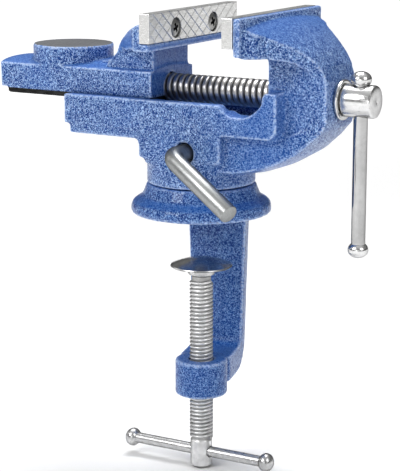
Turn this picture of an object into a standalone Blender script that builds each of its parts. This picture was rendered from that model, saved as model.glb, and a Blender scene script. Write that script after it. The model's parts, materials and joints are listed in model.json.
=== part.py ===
"""Clamp-on bench vise with a swivel base and a round anvil.

The frame: +Z is up, +X is the way the moving jaw travels to close, and the
origin is where the swivel axis meets the bench, on the underside of the base.
Lengths are written in millimetres, and MM turns them into metres.
"""
import bpy
import bmesh
from math import atan2, cos, pi, radians, sin, sqrt
from mathutils import Matrix, Vector

MM = 0.001

# ---- driving dimensions, in millimetres -------------------------------------
JAW_WIDTH = 76.0            # three-inch jaws
JAW_OPENING = 34.3          # how far the jaws stand open
MOVING_FACE_X = -3.2        # gripping face of the moving jaw
FIXED_FACE_X = MOVING_FACE_X + JAW_OPENING
JAW_TOP = 89.5
PLATE_THICK = 4.8
PLATE_HEIGHT = 12.5
JAW_SCREW_Y = 16.0          # the plates' screws stand this far off the middle
SCREW_AXIS_Z = 54.3         # the main screw's height
GAP = 0.3                   # air between pieces that touch
RUN = 0.1                   # radial air of a running fit

RAIL_TOP = 51.2
BODY_HALF = 23.0            # half width of the body's two rails
RAIL_LEFT = -57.2
RAIL_STEP_Z = 38.2          # the rails' side steps in here
RAIL_BOTTOM = 33.7
RIB_LEFT = -55.0
BLOCK_LEFT, BLOCK_RIGHT = -18.6, 21.8
BLOCK_BOTTOM = 25.4
NECK_RADIUS = 24.0
NECK_BOTTOM = 13.4
NOSE_X = 67.5               # flat end that the screw's collar bears on
NOSE_HALF = 13.6
WEB_X = 40.3                # inner wall of the throat
ARM_UNDER = 72.6            # underside of the fixed jaw's overhang

SLAB_HALF = 18.3            # the moving jaw's slide
SLAB_BOTTOM = RAIL_TOP + GAP
SLAB_TOP = 62.5
SLAB_CROWN = 1.8
SLAB_FRONT = -15.0
NOSE_SHOULDER_X = -94.6
NOSE_SAGITTA = 6.2
ANVIL_X = -67.0
ANVIL_RADIUS = 18.3
ANVIL_TOP = 70.9

TONGUE_HALF = 17.0          # machined guide below the slide
TONGUE_BOTTOM = 48.7
TONGUE_LEFT = -91.8
KEEL_HALF = 12.6
KEEL_BOTTOM = 45.4
KEEL_LEFT, KEEL_RIGHT = -55.0, -16.0
LIP_TOP, LIP_BOTTOM = 48.3, 45.7
CHANNEL_FLOOR = 40.8
CHANNEL_RIGHT = WEB_X - 0.1

THREAD_RADIUS, THREAD_CORE, THREAD_PITCH = 6.15, 4.95, 3.0
THREAD_LEFT, THREAD_RIGHT = -50.0, 35.5
JOURNAL_RADIUS = 6.0
HEAD_RADIUS = 6.95
HEAD_LEFT, HEAD_RIGHT = 69.6, 83.5
HANDLE_X = 76.5
HANDLE_RADIUS = 3.0
KNOB_RADIUS, KNOB_HALF_HEIGHT = 4.45, 3.0
KNOB_TOP_Z, KNOB_LOW_Z = 63.7, -8.4

FLANGE_RADIUS = 31.1
POST_RADIUS, POST_TOP = 15.0, 33.3
RECESS_RADIUS, RECESS_DEPTH = 7.4, 8.0
CLAMP_TURN = radians(14.7)  # the clamp arm is swivelled this far from -Y
ARM_INNER, ARM_OUTER = 27.2, 35.3
ARM_HALF_TOP, ARM_HALF_LOW = 13.8, 11.7
FOOT_TOP, FOOT_BOTTOM = -68.6, -80.0
BOSS_RADIUS, BOSS_TOP, BOSS_BOTTOM = 11.8, -68.0, -84.3

CLAMP_RADIUS, CLAMP_CORE, CLAMP_PITCH = 5.35, 4.35, 1.75
CLAMP_TOP, CLAMP_THREAD_LOW, CLAMP_LOW = -29.6, -106.0, -119.0
PAD_RADIUS, PAD_RIM_Z, PAD_DOME = 13.9, -25.0, 4.0
BAR_Z, BAR_RADIUS = -111.9, 2.45
BAR_LEFT, BAR_RIGHT = -36.3, 33.1
BAR_KNOB_RADIUS, BAR_KNOB_HALF = 4.2, 3.5

LEVER_X, LEVER_Z, LEVER_RADIUS = 4.4, 29.4, 4.0
LEVER_ELBOW = Vector((LEVER_X, -33.5, LEVER_Z))
LEVER_TIP = Vector((39.6, -46.0, 10.5))
LEVER_BEND = 6.5            # centre-line radius of the bend

ROUND = 32                  # facets round a turned piece


# ---- helpers -----------------------------------------------------------------
def clear_scene():
    """Start from an empty scene."""
    for old in list(bpy.data.objects):
        bpy.data.objects.remove(old, do_unlink=True)


def finish_material(name, color, metallic, roughness):
    """A plain Principled material for one finish."""
    made = bpy.data.materials.new(name)
    made.use_nodes = True
    shader = made.node_tree.nodes["Principled BSDF"]
    shader.inputs["Base Color"].default_value = (*color, 1.0)
    shader.inputs["Metallic"].default_value = metallic
    shader.inputs["Roughness"].default_value = roughness
    made.diffuse_color = (*color, 1.0)
    return made


def as_object(name, bm):
    """Turn a bmesh in millimetres into an object in metres, faces outward."""
    bmesh.ops.remove_doubles(bm, verts=bm.verts, dist=0.001)
    bmesh.ops.recalc_face_normals(bm, faces=bm.faces)
    bmesh.ops.scale(bm, vec=(MM, MM, MM), verts=bm.verts)
    mesh = bpy.data.meshes.new(name)
    bm.to_mesh(mesh)
    bm.free()
    made = bpy.data.objects.new(name, mesh)
    bpy.context.collection.objects.link(made)
    return made


def boolean(body, tool, operation):
    """Join or cut body with tool, keep the result in body, remove the tool."""
    step = body.modifiers.new(operation.lower(), "BOOLEAN")
    step.operation = operation
    step.object = tool
    step.solver = "EXACT"
    bpy.context.view_layer.update()
    view = bpy.context.evaluated_depsgraph_get()
    result = bpy.data.meshes.new_from_object(body.evaluated_get(view))
    body.modifiers.clear()
    old = body.data
    body.data = result
    bpy.data.meshes.remove(old)
    bpy.data.objects.remove(tool, do_unlink=True)


def join(body, *bmeshes):
    """Weld further shapes onto a casting."""
    for bm in bmeshes:
        boolean(body, as_object("added", bm), "UNION")


def cut(body, *bmeshes):
    """Machine shapes out of a casting."""
    for bm in bmeshes:
        boolean(body, as_object("cutter", bm), "DIFFERENCE")


def box(low, high):
    """A block between two corners."""
    bm = bmesh.new()
    size = Vector(high) - Vector(low)
    middle = (Vector(high) + Vector(low)) / 2
    bmesh.ops.create_cube(bm, size=1.0)
    bmesh.ops.scale(bm, vec=size, verts=bm.verts)
    bmesh.ops.translate(bm, vec=middle, verts=bm.verts)
    return bm


def prism(outline, low, high):
    """Extrude an (x, z) outline along Y from low to high."""
    bm = bmesh.new()
    face = bm.faces.new([bm.verts.new((x, low, z)) for x, z in outline])
    grown = bmesh.ops.extrude_face_region(bm, geom=[face])
    moved = [v for v in grown["geom"] if isinstance(v, bmesh.types.BMVert)]
    bmesh.ops.translate(bm, vec=(0, high - low, 0), verts=moved)
    return bm


def loft(sections):
    """Skin a row of sections that have the same number of points, ends closed."""
    bm = bmesh.new()
    rings = [[bm.verts.new(p) for p in section] for section in sections]
    count = len(rings[0])
    for near, far in zip(rings, rings[1:]):
        for i in range(count):
            j = (i + 1) % count
            bm.faces.new((near[i], near[j], far[j], far[i]))
    bm.faces.new(rings[0])
    bm.faces.new(rings[-1])
    return bm


def turned(profile, steps=ROUND):
    """Spin a (radius, height) profile about Z; its ends are closed."""
    bm = bmesh.new()
    points = list(profile)
    if points[0][0] > 0:
        points.insert(0, (0.0, points[0][1]))
    if points[-1][0] > 0:
        points.append((0.0, points[-1][1]))
    verts = [bm.verts.new((r, 0.0, h)) for r, h in points]
    edges = [bm.edges.new(pair) for pair in zip(verts, verts[1:])]
    bmesh.ops.spin(bm, geom=verts + edges, cent=(0, 0, 0), axis=(0, 0, 1),
                   angle=2 * pi, steps=steps, use_merge=True)
    bmesh.ops.remove_doubles(bm, verts=bm.verts, dist=0.001)
    return bm


def moved(bm, place=(0, 0, 0), along="Z"):
    """Turn a Z-built shape to lie along X or Y, then move it to its place."""
    turns = {"X": Matrix.Rotation(pi / 2, 3, "Y"),
             "Y": Matrix.Rotation(-pi / 2, 3, "X"),
             "Z": Matrix.Identity(3)}
    bmesh.ops.rotate(bm, cent=(0, 0, 0), matrix=turns[along], verts=bm.verts)
    bmesh.ops.translate(bm, vec=place, verts=bm.verts)
    return bm


def rod(radius, low, high, along="Z", place=(0, 0, 0), steps=ROUND):
    """A plain round rod or drill between two heights on its axis."""
    return moved(turned([(radius, low), (radius, high)], steps), place, along)


def arc(cx, cz, radius, start, end, steps=6):
    """Points on an arc, angles in degrees."""
    turn = (end - start) / steps
    angles = [radians(start + turn * i) for i in range(steps + 1)]
    return [(cx + radius * cos(a), cz + radius * sin(a)) for a in angles]


def thread(radius, core, pitch, low, high, steps):
    """A right-hand V thread along Z whose ends taper to closed points inside."""
    bm = bmesh.new()
    turns = int((high - low) / pitch) - 1
    rows = []
    for k in range(2 * turns + 1):
        crest = k % 2 == 1
        row = []
        for i in range(steps):
            angle = 2 * pi * i / steps
            height = low + pitch * (k / 2 + i / steps)
            r = radius if crest else core
            row.append(bm.verts.new((r * cos(angle), r * sin(angle), height)))
        rows.append(row)
    for k in range(len(rows) - 1):
        for i in range(steps - 1):
            bm.faces.new((rows[k][i], rows[k][i + 1], rows[k + 1][i + 1], rows[k + 1][i]))
    last = steps - 1
    for k in range(len(rows) - 3):
        bm.faces.new((rows[k][last], rows[k + 2][0], rows[k + 3][0], rows[k + 1][last]))
    start = [*rows[0], rows[2][0], rows[1][0]]
    end = [*rows[-1], rows[-2][last], rows[-3][last]]
    low_tip = bm.verts.new((0, 0, low))
    high_tip = bm.verts.new((0, 0, low + pitch * (turns + 1)))
    for ring, tip in ((start, low_tip), (end, high_tip)):
        for i in range(len(ring)):
            bm.faces.new((ring[i], ring[(i + 1) % len(ring)], tip))
    return bm


def place_piece(piece, name, material, origin=(0, 0, 0)):
    """Name a piece, give it its finish, and put its origin on its joint axis."""
    offset = Vector(origin) * MM
    piece.name = name
    piece.data.name = name
    piece.data.transform(Matrix.Translation(-offset))
    piece.location = offset
    piece.data.materials.clear()
    piece.data.materials.append(material)
    piece.data.shade_smooth()
    piece.data.set_sharp_from_angle(angle=radians(30))
    return piece


def rounded_rectangle_or_circle(half_x, half_y, corner, circle, share, height, steps=32):
    """A section between a rounded rectangle (share 0) and a circle (share 1)."""
    ring = []
    for i in range(steps):
        angle = 2 * pi * (i + 0.5) / steps
        dx, dy = cos(angle), sin(angle)
        reach = min(half_x / max(abs(dx), 1e-6), half_y / max(abs(dy), 1e-6))
        corner_reach = sqrt(half_x ** 2 + half_y ** 2) - corner
        reach = min(reach, corner_reach)
        r = reach + (circle - reach) * share
        ring.append((r * dx, r * dy, height))
    return ring


def flange_section(x_edge, z_edge, x_root, z_root, half, crown, steps=8):
    """A crowned band's cross-section: the outer skin, then the root edge."""
    ring = []
    for i in range(steps + 1):
        y = -half + 2 * half * i / steps
        lift = crown * (1 - (y / half) ** 2)
        ring.append((x_edge, y, z_edge + lift))
    ring.append((x_root, half - 0.4, z_root))
    ring.append((x_root, -half + 0.4, z_root))
    return ring


# ---- castings ----------------------------------------------------------------
def fixed_jaw_arm(body):
    """The C-shaped arm: jaw slab, crowned top flange, web and lower flange."""
    slab_x = FIXED_FACE_X + PLATE_THICK + GAP
    back_x = slab_x + 3.2
    half = JAW_WIDTH / 2
    top = [(back_x - 1.0, 85.6, back_x - 1.0, ARM_UNDER, 35.0, 2.2),
           (44.2, 83.0, 44.2, ARM_UNDER, 32.8, 2.4),
           (46.8, 81.6, 46.8, ARM_UNDER, 28.9, 2.5),
           (50.5, 79.8, 50.2, 72.0, 26.0, 2.5),
           (56.3, 76.7, 55.0, 70.6, 21.0, 2.3),
           (61.6, 72.8, 59.0, 67.6, 17.2, 1.8),
           (65.4, 68.4, 61.4, 64.4, 15.0, 1.0),
           (NOSE_X, 62.6, 62.6, 60.6, NOSE_HALF, 0.3)]
    low = [(NOSE_X, 46.2, 62.6, 49.0, NOSE_HALF, -0.3),
           (66.0, 42.8, 61.4, 45.6, 14.4, -0.6),
           (60.6, 37.2, 57.0, 42.2, 15.6, -1.2),
           (54.0, 31.6, 51.0, 40.0, 16.6, -1.6),
           (45.0, 26.8, 44.0, 38.6, 17.4, -1.9),
           (35.5, 23.6, 35.5, 38.6, 18.0, -2.1),
           (26.0, 21.8, 26.0, 38.6, 18.4, -2.1),
           (14.0, 21.8, 14.0, 38.6, 18.4, -2.0)]
    web = [(WEB_X, 40.0), (47.5, 38.6), (56.0, 41.0), (NOSE_X - 0.1, 46.4),
           (NOSE_X - 0.1, 62.4), (64.8, 67.0), (60.5, 71.2), (55.0, 75.0),
           (46.0, 80.0), (WEB_X - 3.6, 80.0), (WEB_X - 3.6, ARM_UNDER),
           *arc(WEB_X - 3.6, ARM_UNDER - 3.6, 3.6, 90, 0, 4)]
    join(body,
         box((slab_x, -half, 73.6), (back_x, half, JAW_TOP)),
         loft([flange_section(*s) for s in top]),
         loft([flange_section(*s) for s in low]),
         prism(web, -14.4, 14.4))
    join(body, loft([flange_section(NOSE_X, 63.0, 56.0, 63.0, NOSE_HALF, 0.0),
                     flange_section(NOSE_X, 46.0, 56.0, 46.0, NOSE_HALF, 0.0)]))


def make_vise_body(material):
    """Rails, swivel neck and fixed jaw in one casting."""
    rails = [(RAIL_LEFT, RAIL_STEP_Z), (45.0, RAIL_STEP_Z), *arc(45.0, 42.3, 3.5, -60, 0, 3),
             (48.5, 57.8), (43.4, 57.8), (42.2, 56.6), (41.2, 52.2),
             (38.6, 49.6), (35.4, 47.5), (32.6, 46.7), (26.6, 46.8), (24.6, 47.8),
             (21.2, RAIL_TOP), (RAIL_LEFT, RAIL_TOP)]
    rib = [(RIB_LEFT, RAIL_BOTTOM), (-21.8, RAIL_BOTTOM), *arc(-21.8, 30.7, 3.2, 90, 0, 4),
           (-18.0, 30.0), (-18.0, 40.0), (RIB_LEFT, 40.0)]
    body = as_object("vise_body", prism(rails, -BODY_HALF, BODY_HALF))
    join(body, prism(rib, -BODY_HALF + 0.9, BODY_HALF - 0.9))
    middle = (BLOCK_LEFT + BLOCK_RIGHT) / 2
    column = [rounded_rectangle_or_circle((BLOCK_RIGHT - BLOCK_LEFT) / 2 - 0.2, BODY_HALF - 0.2,
                                          2.0, NECK_RADIUS, share, height)
              for share, height in ((0.0, 40.0), (0.0, BLOCK_BOTTOM), (0.5, 23.4), (1.0, 22.2),
                                    (1.0, NECK_BOTTOM + 0.4))]
    shifted = [[(x + (middle if z > 25 else 0.0), y, z) for x, y, z in ring] for ring in column]
    join(body, loft(shifted),
         box((BLOCK_LEFT, -BODY_HALF, BLOCK_BOTTOM + 0.4), (BLOCK_RIGHT, BODY_HALF, 41.0)),
         turned([(NECK_RADIUS - 0.5, NECK_BOTTOM), (NECK_RADIUS, NECK_BOTTOM + 0.5),
                 (NECK_RADIUS, 22.0)]))
    fixed_jaw_arm(body)
    far = RAIL_LEFT - 2
    cut(body,
        box((far, -TONGUE_HALF - 0.4, LIP_TOP), (CHANNEL_RIGHT, TONGUE_HALF + 0.4, RAIL_TOP + 1)),
        box((far, -KEEL_HALF - 0.4, LIP_BOTTOM - 0.1),
            (CHANNEL_RIGHT, KEEL_HALF + 0.4, LIP_TOP + 0.1)),
        box((far, -TONGUE_HALF + 0.2, CHANNEL_FLOOR), (CHANNEL_RIGHT, TONGUE_HALF - 0.2, LIP_BOTTOM)),
        rod(JOURNAL_RADIUS + RUN, 30.0, NOSE_X + 3, "X", (0, 0, SCREW_AXIS_Z)),
        rod(POST_RADIUS + RUN + GAP, NECK_BOTTOM - 1, POST_TOP + 0.7),
        rod(4.1, POST_TOP, CHANNEL_FLOOR + 1, steps=24),
        rod(LEVER_RADIUS + GAP, -BODY_HALF - 3, -POST_RADIUS + 4, "Y", (LEVER_X, 0, LEVER_Z), 24),
        rod(4.75, -BODY_HALF - 3, -BODY_HALF + 2.6, "Y", (LEVER_X, 0, LEVER_Z), 24))
    back = FIXED_FACE_X + PLATE_THICK
    for y in (-JAW_SCREW_Y, JAW_SCREW_Y):
        z = JAW_TOP - 7.3
        cut(body, rod(2.3, back - 1, back + 6.4, "X", (0, y, z), 14))
    return place_piece(body, "vise_body", material)


def make_moving_jaw(material):
    """Slide with its anvil, tongue and keel, and the moving jaw."""
    radius = (SLAB_HALF ** 2 + NOSE_SAGITTA ** 2) / (2 * NOSE_SAGITTA)
    centre = NOSE_SHOULDER_X - NOSE_SAGITTA + radius
    stations = []
    for i in range(1, 9):
        half = SLAB_HALF * sin(i * pi / 16)
        stations.append((centre - sqrt(radius ** 2 - half ** 2), half))
    stations.append((SLAB_FRONT, SLAB_HALF))
    slab = [flange_section(x, SLAB_TOP, x, SLAB_BOTTOM, half, SLAB_CROWN * half / SLAB_HALF)
            for x, half in stations]
    jaw = as_object("moving_jaw", loft(slab))
    anvil = [(ANVIL_RADIUS + 1.0, SLAB_TOP - 4), (ANVIL_RADIUS, SLAB_TOP - 3),
             (ANVIL_RADIUS, ANVIL_TOP - 0.5), (ANVIL_RADIUS - 0.5, ANVIL_TOP)]
    anvil = [(min(r, SLAB_HALF), z) for r, z in anvil]
    neck = [(-41.0, SLAB_BOTTOM + 2), (SLAB_FRONT - 0.3, SLAB_BOTTOM + 2), (SLAB_FRONT - 0.3, 74.4),
            (-30.0, 74.4), (-34.0, 70.4), (-41.0, 62.6)]
    ramp = [(-52.0, 60.0), (-38.0, 60.0), (-38.0, 66.4), (-46.0, 64.8), (-52.0, 64.2)]
    plate_back = MOVING_FACE_X - PLATE_THICK
    face = plate_back - GAP
    ledge = [(face - 3.6, 73.6), (MOVING_FACE_X - 0.7, 73.6), (MOVING_FACE_X - 0.7, 76.7),
             (face, 76.7), (face, 85.0), (face - 0.8, 85.0), (face - 3.6, 83.4)]
    head = [(face - 2.6, 84.4, face - 2.6, 73.4, 35.8, 2.0),
            (-15.8, 82.6, -15.8, 73.4, 32.4, 2.2),
            (-19.4, 81.0, -19.4, 73.2, 29.2, 2.2),
            (-22.8, 79.0, -22.8, 72.2, 26.2, 2.0),
            (-26.6, 76.6, -25.8, 72.6, 23.0, 1.8),
            (-30.4, 73.6, -28.0, 71.6, 19.4, 1.2),
            (-33.8, 70.2, -30.0, 68.8, 15.4, 0.5)]
    half = JAW_WIDTH / 2
    join(jaw, moved(turned(anvil), (ANVIL_X, 0, 0)))
    join(jaw, prism(neck, -15.0, 15.0), prism(ramp, -9.0, 9.0), prism(ledge, -half, half),
         loft([flange_section(*s) for s in head]))
    join(jaw,
         box((TONGUE_LEFT, -TONGUE_HALF, TONGUE_BOTTOM), (SLAB_FRONT - 0.3, TONGUE_HALF, 53.0)),
         box((KEEL_LEFT, -KEEL_HALF, KEEL_BOTTOM), (KEEL_RIGHT, KEEL_HALF, TONGUE_BOTTOM + 1)))
    cut(jaw, rod(THREAD_RADIUS + 0.35, -88.0, SLAB_FRONT + 3, "X", (0, 0, SCREW_AXIS_Z)))
    for y in (-JAW_SCREW_Y, JAW_SCREW_Y):
        cut(jaw, rod(2.3, plate_back - 6.4, plate_back + 1, "X", (0, y, JAW_TOP - 7.3), 14))
    for x, y in keeper_screw_places():
        cut(jaw, rod(1.7, KEEL_BOTTOM - 1, 50.2, "Z", (x, y, 0), 16))
    return place_piece(jaw, "moving_jaw", material)


def make_clamp_frame(material):
    """Base flange, swivel post, clamp arm and the boss that the clamp screw runs in."""
    bell = [(FLANGE_RADIUS - 0.8, 0.0), (FLANGE_RADIUS, 0.8), (FLANGE_RADIUS, 3.3),
            (30.5, 4.8), (29.0, 6.0), (27.2, 6.9), (26.0, 8.2), (25.2, 10.2),
            (24.4, 12.5), (23.8, 13.1), (POST_RADIUS, 13.1), (POST_RADIUS, POST_TOP - 0.6),
            (POST_RADIUS - 0.6, POST_TOP)]
    frame = as_object("clamp_frame", turned(bell))
    profile = [(18.0, 0.0), (ARM_INNER - 2.0, 0.0), (ARM_INNER, -2.0),
               *arc(ARM_INNER - 5.0, FOOT_TOP + 5.0, 5.0, 0, -90, 5), (6.0, FOOT_TOP),
               (6.0, FOOT_BOTTOM), *arc(ARM_OUTER - 14.0, FOOT_BOTTOM + 14.0, 14.0, -90, 0, 8),
               *arc(ARM_OUTER - 4.0, 3.0, 4.0, 0, 90, 4), (18.0, 7.0)]
    arm = prism(profile, -1.0, 1.0)
    for vert in arm.verts:
        share = min(max(-vert.co.z / 66.0, 0.0), 1.0)
        half = ARM_HALF_TOP + (ARM_HALF_LOW - ARM_HALF_TOP) * share
        vert.co.y = half if vert.co.y > 0 else -half
    bmesh.ops.rotate(arm, cent=(0, 0, 0), matrix=Matrix.Rotation(pi / 2 + CLAMP_TURN, 3, "Z"),
                     verts=arm.verts)
    boss = [(BOSS_RADIUS - 0.6, BOSS_BOTTOM), (BOSS_RADIUS, BOSS_BOTTOM + 0.6),
            (BOSS_RADIUS, BOSS_TOP - 0.6), (BOSS_RADIUS - 0.6, BOSS_TOP)]
    join(frame, arm, turned(boss))
    cut(frame,
        rod(4.4, -1, POST_TOP + 1, steps=24),
        rod(RECESS_RADIUS, -1, RECESS_DEPTH),
        rod(CLAMP_RADIUS + 0.35, BOSS_BOTTOM - 1, BOSS_TOP + 1))
    return place_piece(frame, "clamp_frame", material)


# ---- steel pieces --------------------------------------------------------------
def keeper_screw_places():
    """Where the keeper plate's four screws stand."""
    return [(x, y) for x in (-47.0, -24.0) for y in (-9.6, 9.6)]


def make_jaw_plate(name, front_x, way, material):
    """A hardened jaw plate; way is +1 where its grip faces +X."""
    back_x = front_x - way * PLATE_THICK
    half = JAW_WIDTH / 2
    low = (min(front_x, back_x), -half, JAW_TOP - PLATE_HEIGHT)
    high = (max(front_x, back_x), half, JAW_TOP)
    plate = as_object(name, box(low, high))
    for y in (-JAW_SCREW_Y, JAW_SCREW_Y):
        z = JAW_TOP - 7.3
        seat = sorted((front_x - way * 2.4, front_x + way))
        cut(plate, rod(2.4, low[0] - 1, high[0] + 1, "X", (0, y, z), 12),
            rod(4.4, *seat, "X", (0, y, z), 20))
    return place_piece(plate, name, material)


def make_jaw_screw(name, front_x, way, y, material):
    """Round-head cross-slot screw sunk into a jaw plate."""
    head = [(2.0, -5.6), (2.0, 0.0), (4.05, 0.0), (4.05, 1.0), (3.4, 1.6), (1.8, 1.9)]
    screw = as_object(name, turned(head, 14))
    cut(screw, box((-2.2, -0.4, 0.9), (2.2, 0.4, 3)), box((-0.4, -2.2, 0.9), (0.4, 2.2, 3)))
    turn = Matrix.Rotation(way * pi / 2, 4, "Y")
    seat = Vector((front_x - way * 2.1, y, JAW_TOP - 7.3)) * MM
    screw.data.transform(Matrix.Translation(seat) @ turn)
    origin = (front_x, y, JAW_TOP - 7.3)
    return place_piece(screw, name, material, origin)


def make_keeper(material, screw_material):
    """Steel plate under the keel that holds the slide down, with its screws."""
    low, high = KEEL_BOTTOM - GAP - 2.0, KEEL_BOTTOM - GAP
    plate = as_object("keeper_plate", box((KEEL_LEFT, -TONGUE_HALF + 0.7, low),
                                          (KEEL_RIGHT, TONGUE_HALF - 0.7, high)))
    for x, y in keeper_screw_places():
        cut(plate, rod(1.7, low - 1, high + 1, "Z", (x, y, 0), 16))
    place_piece(plate, "keeper_plate", material, (0, 0, low))
    for number, (x, y) in enumerate(keeper_screw_places(), 1):
        head = low - GAP
        screw = as_object("screw", turned([(2.3, head - 1.5), (2.7, head - 1.2), (2.7, head),
                                           (1.45, head), (1.45, 49.6)], 12))
        screw.data.transform(Matrix.Translation(Vector((x, y, 0)) * MM))
        place_piece(screw, f"keeper_screw_{number}", screw_material, (x, y, head))


def make_main_screw(material):
    """Threaded spindle with its journal and cross-drilled head."""
    axis = (0, 0, SCREW_AXIS_Z)
    end = THREAD_RIGHT + 1.0
    core = THREAD_CORE - 0.6
    shaft = [(core, end - 8), (core, end), (JOURNAL_RADIUS, end + 0.8),
             (JOURNAL_RADIUS, 38.3), (5.2, 38.3), (5.2, 40.0), (JOURNAL_RADIUS, 40.0),
             (JOURNAL_RADIUS, HEAD_LEFT), (HEAD_RADIUS - 0.4, HEAD_LEFT),
             (HEAD_RADIUS, HEAD_LEFT + 0.4), (HEAD_RADIUS, HEAD_RIGHT - 0.9),
             (HEAD_RADIUS - 0.9, HEAD_RIGHT)]
    screw = as_object("main_screw", moved(turned(shaft, 24), axis, "X"))
    spiral = thread(THREAD_RADIUS, THREAD_CORE, THREAD_PITCH, THREAD_LEFT, THREAD_RIGHT, 14)
    join(screw, moved(spiral, axis, "X"))
    cut(screw, rod(HANDLE_RADIUS + GAP, 40, 70, "Z", (HANDLE_X, 0, 0), 20))
    return place_piece(screw, "main_screw", material, (HANDLE_X, 0, SCREW_AXIS_Z))


def ring(name, inner, outer, low, high, bevel, material, along="X", place=(0, 0, 0)):
    """A washer-like ring."""
    outline = [(outer - bevel, low), (outer, low + bevel), (outer, high - bevel),
               (outer - bevel, high)]
    made = as_object(name, moved(turned(outline, 24), place, along))
    cut(made, rod(inner, low - 1, high + 1, along, place, 24))
    return place_piece(made, name, material, place)


def knob_profile(radius, half_height, seat_radius):
    """Flattened ball from its flat seat at the bottom to its top."""
    share = seat_radius / radius
    start = -atan2(sqrt(1 - share ** 2), share)
    points = []
    for i in range(8):
        angle = start + (pi / 2 - start) * i / 7
        points.append((radius * cos(angle), half_height * sin(angle)))
    return points


def make_knob(name, centre, along, way, radius, half_height, bar_radius, material):
    """End knob of a sliding bar; its blind hole takes the bar's spigot."""
    profile = knob_profile(radius, half_height, bar_radius + 0.1)
    seat = profile[0][1]
    knob = as_object(name, turned(profile, 16))
    cut(knob, rod(bar_radius * 0.68, seat - 1, 0.6, steps=12))
    if way < 0:
        knob.data.transform(Matrix.Rotation(pi, 4, "X"))
    if along == "X":
        knob.data.transform(Matrix.Rotation(pi / 2, 4, "Y"))
    knob.data.transform(Matrix.Translation(Vector(centre) * MM))
    place_piece(knob, name, material, centre)
    return seat


def bar_between(name, low, high, seat, radius, along, place, material):
    """A sliding bar whose turned-down ends enter its two knobs."""
    spigot = radius * 0.62
    shoulder_low, shoulder_high = low - seat + GAP, high + seat - GAP
    outline = [(spigot, low), (spigot, shoulder_low), (radius, shoulder_low),
               (radius, shoulder_high), (spigot, shoulder_high), (spigot, high)]
    made = as_object(name, moved(turned(outline, 16), place, along))
    return place_piece(made, name, material, place)


def make_handle(material):
    """The main screw's sliding handle and its two knobs."""
    args = (KNOB_RADIUS, KNOB_HALF_HEIGHT, HANDLE_RADIUS, material)
    seat = make_knob("handle_knob_top", (HANDLE_X, 0, KNOB_TOP_Z), "Z", 1, *args)
    make_knob("handle_knob_bottom", (HANDLE_X, 0, KNOB_LOW_Z), "Z", -1, *args)
    bar_between("handle_bar", KNOB_LOW_Z, KNOB_TOP_Z, seat, HANDLE_RADIUS, "Z",
                (HANDLE_X, 0, 0), material)


def make_clamp_bar(material):
    """The clamp screw's tommy bar and its two knobs."""
    args = (BAR_KNOB_RADIUS, BAR_KNOB_HALF, BAR_RADIUS, material)
    seat = make_knob("clamp_bar_knob_right", (BAR_RIGHT, 0, BAR_Z), "X", 1, *args)
    make_knob("clamp_bar_knob_left", (BAR_LEFT, 0, BAR_Z), "X", -1, *args)
    bar_between("clamp_bar", BAR_LEFT, BAR_RIGHT, seat, BAR_RADIUS, "X", (0, 0, BAR_Z), material)


def make_clamp_screw(material):
    """The clamp's spindle: spigot, thread and cross-drilled plain end."""
    top = CLAMP_TOP
    core = CLAMP_CORE - 0.6
    stem = [(CLAMP_RADIUS - 1.2, CLAMP_LOW), (CLAMP_RADIUS - 0.4, CLAMP_LOW + 0.8),
            (CLAMP_RADIUS - 0.4, CLAMP_THREAD_LOW - 0.8), (core, CLAMP_THREAD_LOW),
            (core, top), (3.2, top), (3.2, top + 3.0)]
    screw = as_object("clamp_screw", turned(stem, 24))
    join(screw, thread(CLAMP_RADIUS, CLAMP_CORE, CLAMP_PITCH, CLAMP_THREAD_LOW - 0.6, top, 10))
    cut(screw, rod(BAR_RADIUS + GAP, -8, 8, "X", (0, 0, BAR_Z), 16))
    return place_piece(screw, "clamp_screw", material, (0, 0, BAR_Z))


def make_clamp_pad(material):
    """Domed pad that presses on the underside of the bench."""
    outline = [(5.6, PAD_RIM_Z - 4.2), (6.0, PAD_RIM_Z - 3.6), (6.2, PAD_RIM_Z - 1.8),
               (10.0, PAD_RIM_Z - 1.2), (13.3, PAD_RIM_Z - 0.6), (PAD_RADIUS, PAD_RIM_Z)]
    steps = 6
    for i in range(1, steps + 1):
        r = (PAD_RADIUS - 0.4) * (1 - i / steps)
        lift = PAD_DOME * (1 - (r / PAD_RADIUS) ** 2)
        outline.append((r, PAD_RIM_Z + 0.3 + lift))
    pad = as_object("clamp_pad", turned(outline, 28))
    cut(pad, rod(3.5, PAD_RIM_Z - 6, PAD_RIM_Z - 1.2, steps=16))
    return place_piece(pad, "clamp_pad", material, (0, 0, PAD_RIM_Z))


def make_lock_lever(material):
    """Bent locking bolt: a shank along Y, a tight bend and a straight lever."""
    start = Vector((LEVER_X, -POST_RADIUS - 0.8, LEVER_Z))
    first = (LEVER_ELBOW - start).normalized()
    second = (LEVER_TIP - LEVER_ELBOW).normalized()
    turn = first.angle(second)
    setback = LEVER_BEND / cos(turn / 2) * sin(turn / 2)
    inward = (second - first).normalized()
    centre = LEVER_ELBOW + inward * (LEVER_BEND / cos(turn / 2))
    axis = first.cross(second).normalized()
    entry = LEVER_ELBOW - first * setback
    path = [(start, first), (entry, first)]
    steps = 5
    for i in range(1, steps + 1):
        spin = Matrix.Rotation(turn * i / steps, 3, axis)
        path.append((centre + spin @ (entry - centre), spin @ first))
    path += [(LEVER_TIP - second * 0.5, second), (LEVER_TIP, second)]
    sections = []
    for i, (point, way) in enumerate(path):
        side = axis
        up = way.cross(side).normalized()
        radius = LEVER_RADIUS - (0.5 if i in (0, len(path) - 1) else 0.0)
        ring_points = []
        for k in range(16):
            angle = 2 * pi * k / 16
            ring_points.append(point + (side * cos(angle) + up * sin(angle)) * radius)
        sections.append(ring_points)
    lever = as_object("lock_lever", loft(sections))
    return place_piece(lever, "lock_lever", material, (LEVER_X, -BODY_HALF, LEVER_Z))


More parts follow.
